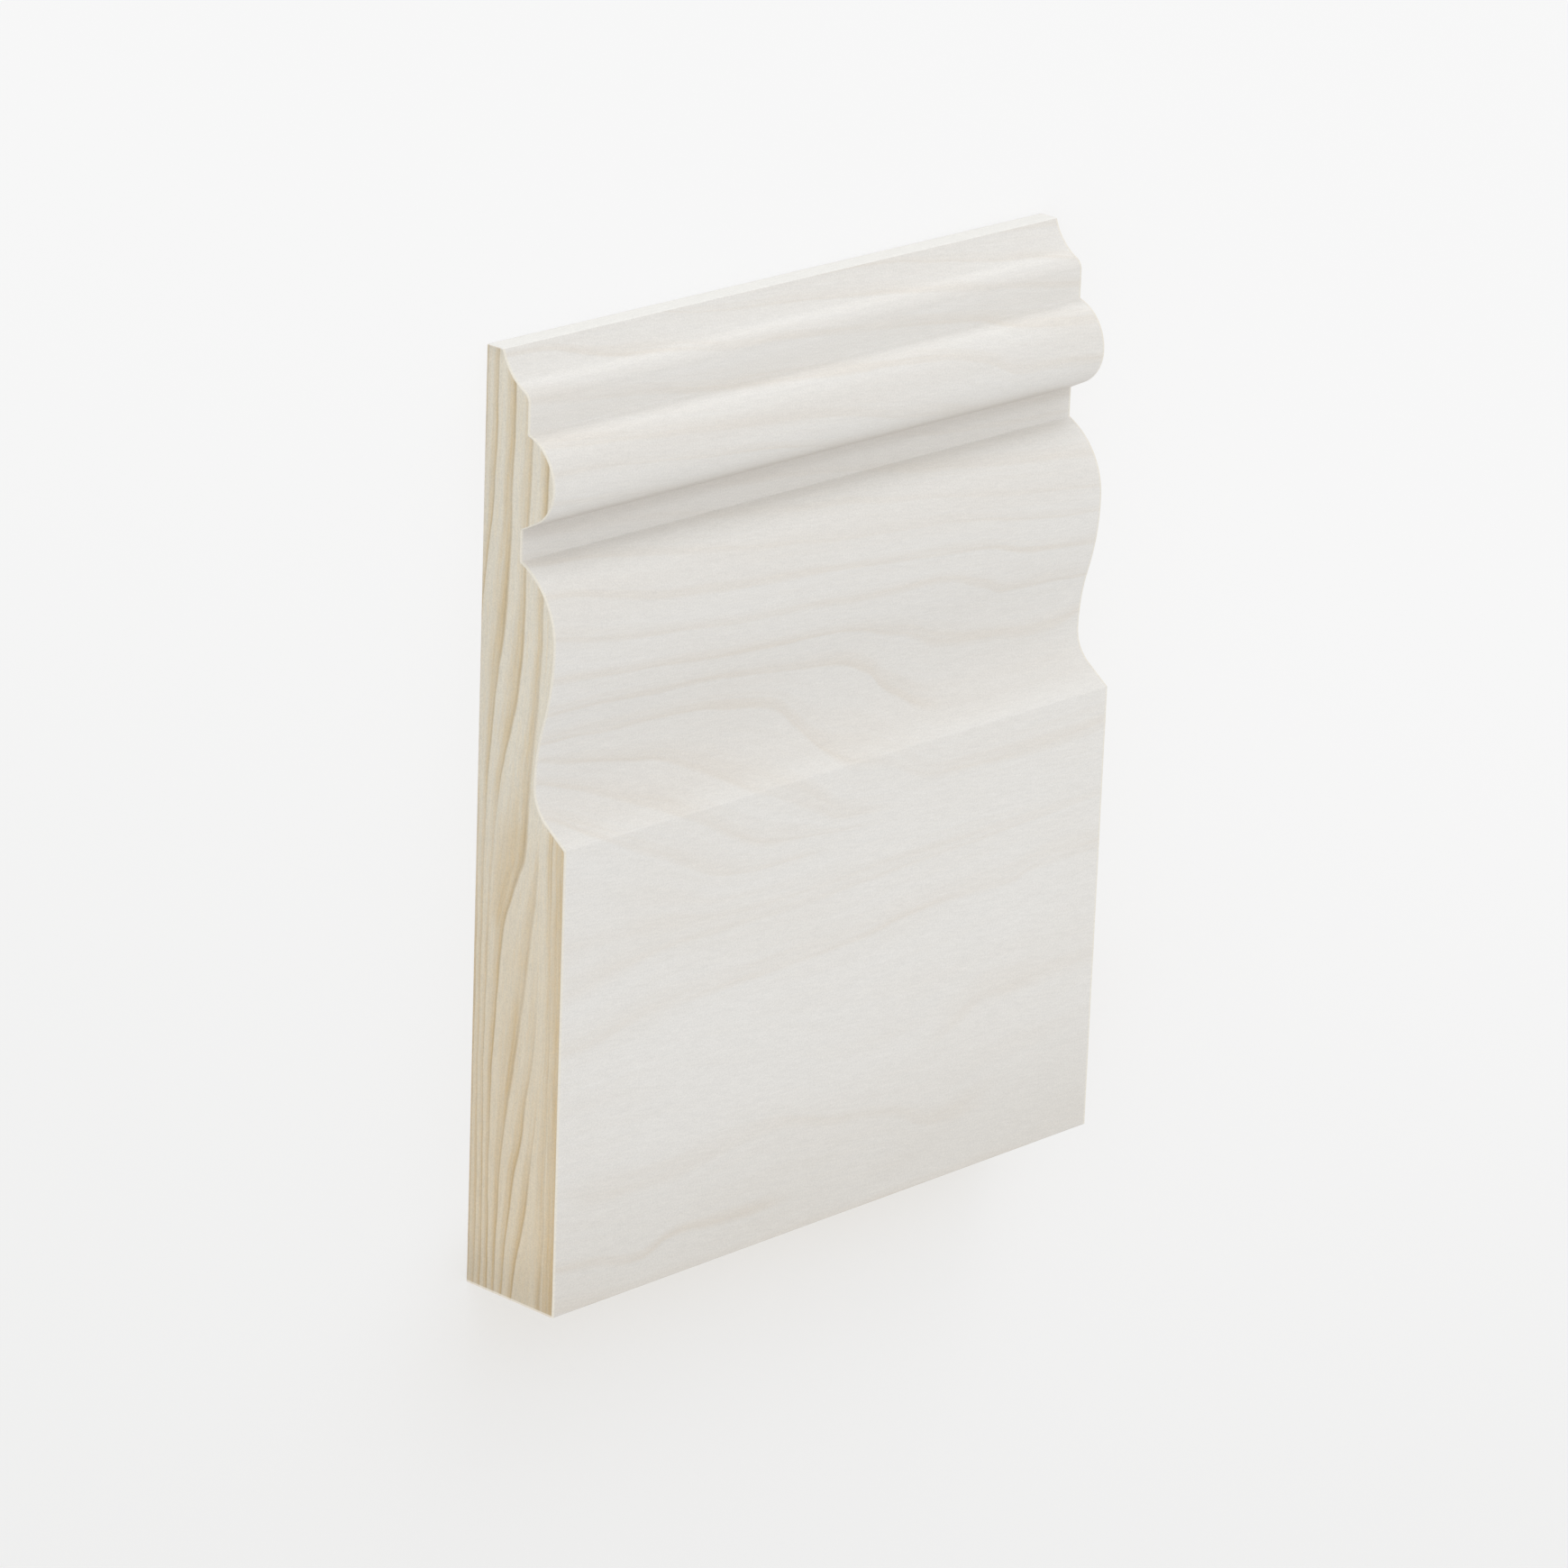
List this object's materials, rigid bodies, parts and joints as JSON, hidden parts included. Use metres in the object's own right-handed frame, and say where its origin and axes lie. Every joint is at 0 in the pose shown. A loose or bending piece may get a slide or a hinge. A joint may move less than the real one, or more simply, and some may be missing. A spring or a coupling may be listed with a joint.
{
  "type": "skirting board length",
  "caption": "Moulded wooden skirting board with a tall plain plinth, an ogee, a bead and a coved top edge; it covers the joint between wall and floor.",
  "frame": {"origin": "middle of the flat back that goes against the wall, which the board lies on", "axes": "+X along the length, +Y from the foot to the top edge, +Z out of the wall, from the back to the moulded face"},
  "size_m": [0.178, 0.22, 0.028],
  "materials": {
    "glazed_pine": "Planed pine. The moulded face and the top edge have a satin white glaze through which the grain shows faintly. The sawn ends, the back and the foot are bare."
  },
  "bodies": {
    "root": {"skirting_board": "glazed_pine"}
  },
  "joints": []
}
